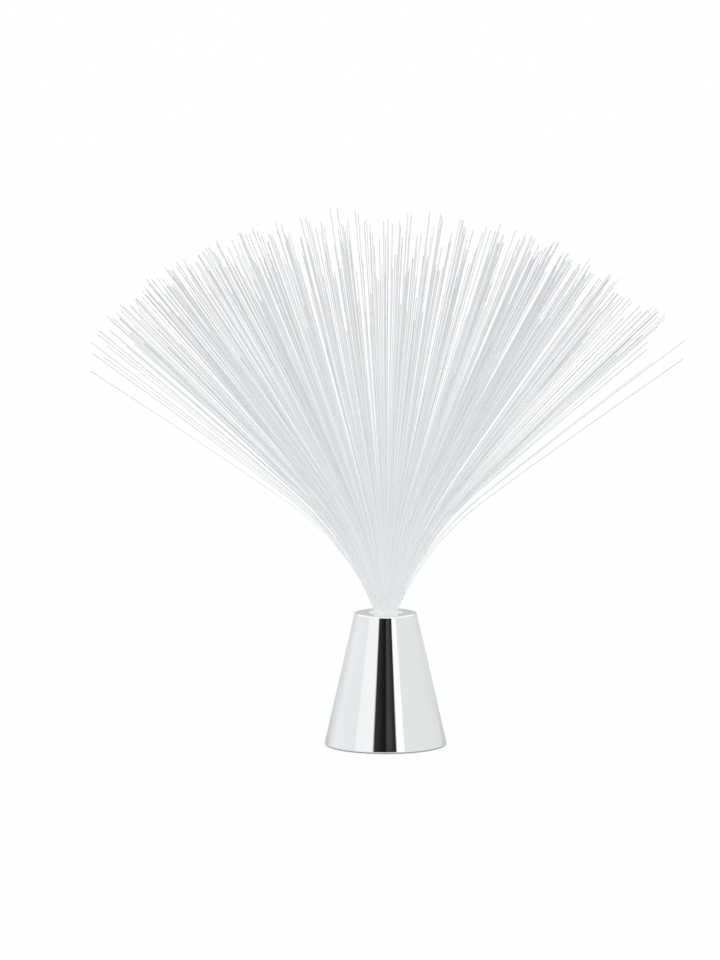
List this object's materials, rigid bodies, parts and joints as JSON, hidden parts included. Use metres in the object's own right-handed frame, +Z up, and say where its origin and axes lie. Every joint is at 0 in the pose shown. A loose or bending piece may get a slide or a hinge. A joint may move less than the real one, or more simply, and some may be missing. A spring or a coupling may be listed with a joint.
{
  "type": "fiber optic lamp",
  "caption": "Battery table lamp: a polished chrome cone with a plug-in spray of clear optical fibres fanning out of its top, and a slide switch and hinged battery door underneath.",
  "frame": {"origin": "middle of the base on the table surface", "axes": "+Z up along the cone's axis, +Y towards the slide switch on the underside, +X towards the battery door's latch"},
  "size_m": [0.3411, 0.3556, 0.3089],
  "materials": {
    "chrome_plating": "polished",
    "black_plastic": "matte",
    "black_rubber": "matte",
    "zinc_steel": "satin",
    "cell_wrap": "satin",
    "nickel_steel": "satin",
    "phenolic_board": "matte",
    "circuit_board": "satin",
    "switch_plastic": "satin",
    "switch_brass": "satin",
    "white_plastic": "satin",
    "clear_epoxy": "polished",
    "resistor_lacquer": "satin",
    "red_wire": "satin",
    "black_wire": "satin",
    "clear_resin": "polished",
    "clear_fiber": "gloss"
  },
  "bodies": {
    "base": {"cone_shell": "chrome_plating", "base_plate": "black_plastic", "rubber_foot_1": "black_rubber", "rubber_foot_2": "black_rubber", "rubber_foot_3": "black_rubber", "rubber_foot_4": "black_rubber", "base_screws": "zinc_steel", "battery_1": "cell_wrap", "battery_2": "cell_wrap", "battery_3": "cell_wrap", "contact_spring_1": "nickel_steel", "contact_spring_2": "nickel_steel", "contact_spring_3": "nickel_steel", "bridge_plate_front": "nickel_steel", "bridge_plate_rear": "nickel_steel", "positive_plate": "nickel_steel", "negative_plate": "nickel_steel", "switch_frame": "nickel_steel", "switch_board": "phenolic_board", "switch_pins": "nickel_steel", "switch_screws": "zinc_steel", "top_collar": "white_plastic", "collar_screws": "zinc_steel", "led_board": "circuit_board", "board_screws": "zinc_steel", "led": "clear_epoxy", "led_leads": "nickel_steel", "resistor": "resistor_lacquer", "wire_battery": "red_wire", "wire_lamp": "red_wire", "wire_return": "black_wire"},
    "spray": {"bundle_ferrule": "white_plastic", "potted_end": "clear_resin", "optical_fibers": "clear_fiber"},
    "door": {"battery_door": "black_plastic"},
    "switch_knob": {"switch_slider": "switch_plastic", "switch_bridge": "switch_brass"}
  },
  "joints": [
    {"name": "spray_lift", "type": "slide", "parent": "base", "child": "spray", "axis": [0, 0, 1], "range_m": [0, 0.017]},
    {"name": "door_hinge", "type": "hinge", "parent": "base", "child": "door", "pos_m": [-0.0246, 0, 0.0024], "axis": [0, 1, 0], "range_deg": [0, 90]},
    {"name": "switch_slide", "type": "slide", "parent": "base", "child": "switch_knob", "axis": [1, 0, 0], "range_m": [0, 0.003]}
  ]
}
